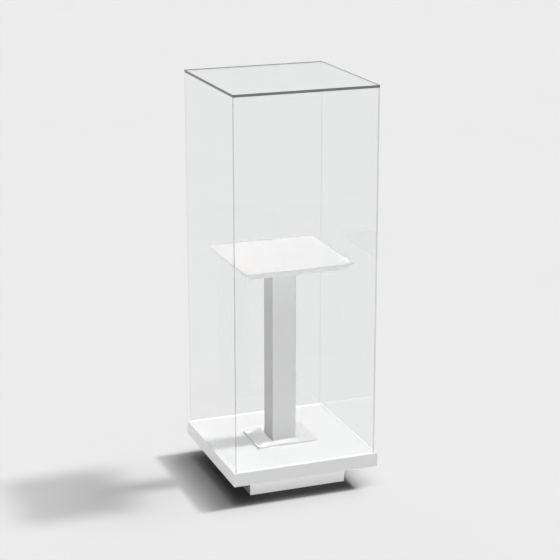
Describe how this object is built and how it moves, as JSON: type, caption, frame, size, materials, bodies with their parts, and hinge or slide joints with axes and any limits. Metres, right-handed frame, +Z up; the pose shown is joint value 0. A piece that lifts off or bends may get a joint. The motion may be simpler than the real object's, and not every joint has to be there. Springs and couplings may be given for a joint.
{
  "type": "museum display case",
  "caption": "Tall clear acrylic display hood over a slim white pedestal platform, on a floating white deck and recessed plinth with hidden levelling feet.",
  "frame": {"origin": "floor level, in the middle of the square footprint", "axes": "+Z up, +X to the right along the front face, the front is -Y"},
  "size_m": [0.6, 0.6, 1.617],
  "materials": {
    "white_lacquer": "satin",
    "raw_board": "matte",
    "white_powder_coat": "satin",
    "white_satin_platform": "satin",
    "clear_acrylic": "polished",
    "clear_silicone": "matte",
    "zinc_steel": "satin",
    "black_nylon": "matte"
  },
  "bodies": {
    "base": {"fascia_front": "white_lacquer", "fascia_rear": "white_lacquer", "fascia_left": "white_lacquer", "fascia_right": "white_lacquer", "deck_top_board": "white_lacquer", "deck_rail_front": "raw_board", "deck_rail_rear": "raw_board", "deck_rail_left": "raw_board", "deck_rail_right": "raw_board", "deck_core_block": "raw_board", "deck_base_board": "white_lacquer", "hood_seal_front": "clear_silicone", "hood_seal_rear": "clear_silicone", "hood_seal_left": "clear_silicone", "hood_seal_right": "clear_silicone", "plinth_board_front": "white_lacquer", "plinth_board_rear": "white_lacquer", "plinth_board_left": "white_lacquer", "plinth_board_right": "white_lacquer", "plinth_block_front_left": "raw_board", "plinth_block_front_right": "raw_board", "plinth_block_rear_left": "raw_board", "plinth_block_rear_right": "raw_board", "plinth_screws": "zinc_steel", "leveller_inserts": "zinc_steel", "pedestal_foot_plate": "white_powder_coat", "pedestal_column": "white_powder_coat", "pedestal_head_plate": "white_powder_coat", "pedestal_platform": "white_satin_platform", "pedestal_bolts": "zinc_steel", "pedestal_washers": "zinc_steel", "platform_screws": "zinc_steel"},
    "hood": {"hood_front_sheet": "clear_acrylic", "hood_rear_sheet": "clear_acrylic", "hood_left_sheet": "clear_acrylic", "hood_right_sheet": "clear_acrylic", "hood_top_sheet": "clear_acrylic"},
    "leveller_front_left_pad_body": {"leveller_pad_front_left": "black_nylon"},
    "leveller_front_left_stem_body": {"leveller_stem_front_left": "zinc_steel"},
    "leveller_front_right_pad_body": {"leveller_pad_front_right": "black_nylon"},
    "leveller_front_right_stem_body": {"leveller_stem_front_right": "zinc_steel"},
    "leveller_rear_left_pad_body": {"leveller_pad_rear_left": "black_nylon"},
    "leveller_rear_left_stem_body": {"leveller_stem_rear_left": "zinc_steel"},
    "leveller_rear_right_pad_body": {"leveller_pad_rear_right": "black_nylon"},
    "leveller_rear_right_stem_body": {"leveller_stem_rear_right": "zinc_steel"}
  },
  "joints": [
    {"name": "hood_lift", "type": "slide", "parent": "base", "child": "hood", "axis": [0, 0, 1], "range_m": [0, 1.2]},
    {"name": "leveller_front_left_travel", "type": "slide", "parent": "base", "child": "leveller_front_left_pad_body", "axis": [0, 0, -1], "range_m": [0, 0.015]},
    {"name": "leveller_front_left_turn", "type": "hinge", "parent": "leveller_front_left_pad_body", "child": "leveller_front_left_stem_body", "pos_m": [-0.152, -0.152, 0.03], "axis": [0, 0, -1], "range_deg": [0, 3600]},
    {"name": "leveller_front_right_travel", "type": "slide", "parent": "base", "child": "leveller_front_right_pad_body", "axis": [0, 0, -1], "range_m": [0, 0.015]},
    {"name": "leveller_front_right_turn", "type": "hinge", "parent": "leveller_front_right_pad_body", "child": "leveller_front_right_stem_body", "pos_m": [0.152, -0.152, 0.03], "axis": [0, 0, -1], "range_deg": [0, 3600]},
    {"name": "leveller_rear_left_travel", "type": "slide", "parent": "base", "child": "leveller_rear_left_pad_body", "axis": [0, 0, -1], "range_m": [0, 0.015]},
    {"name": "leveller_rear_left_turn", "type": "hinge", "parent": "leveller_rear_left_pad_body", "child": "leveller_rear_left_stem_body", "pos_m": [-0.152, 0.152, 0.03], "axis": [0, 0, -1], "range_deg": [0, 3600]},
    {"name": "leveller_rear_right_travel", "type": "slide", "parent": "base", "child": "leveller_rear_right_pad_body", "axis": [0, 0, -1], "range_m": [0, 0.015]},
    {"name": "leveller_rear_right_turn", "type": "hinge", "parent": "leveller_rear_right_pad_body", "child": "leveller_rear_right_stem_body", "pos_m": [0.152, 0.152, 0.03], "axis": [0, 0, -1], "range_deg": [0, 3600]}
  ],
  "couplings": [
    {"joint": "leveller_front_left_turn", "follows": "leveller_front_left_travel", "rad_per_m": 4188.8},
    {"joint": "leveller_front_right_turn", "follows": "leveller_front_right_travel", "rad_per_m": 4188.8},
    {"joint": "leveller_rear_left_turn", "follows": "leveller_rear_left_travel", "rad_per_m": 4188.8},
    {"joint": "leveller_rear_right_turn", "follows": "leveller_rear_right_travel", "rad_per_m": 4188.8}
  ]
}
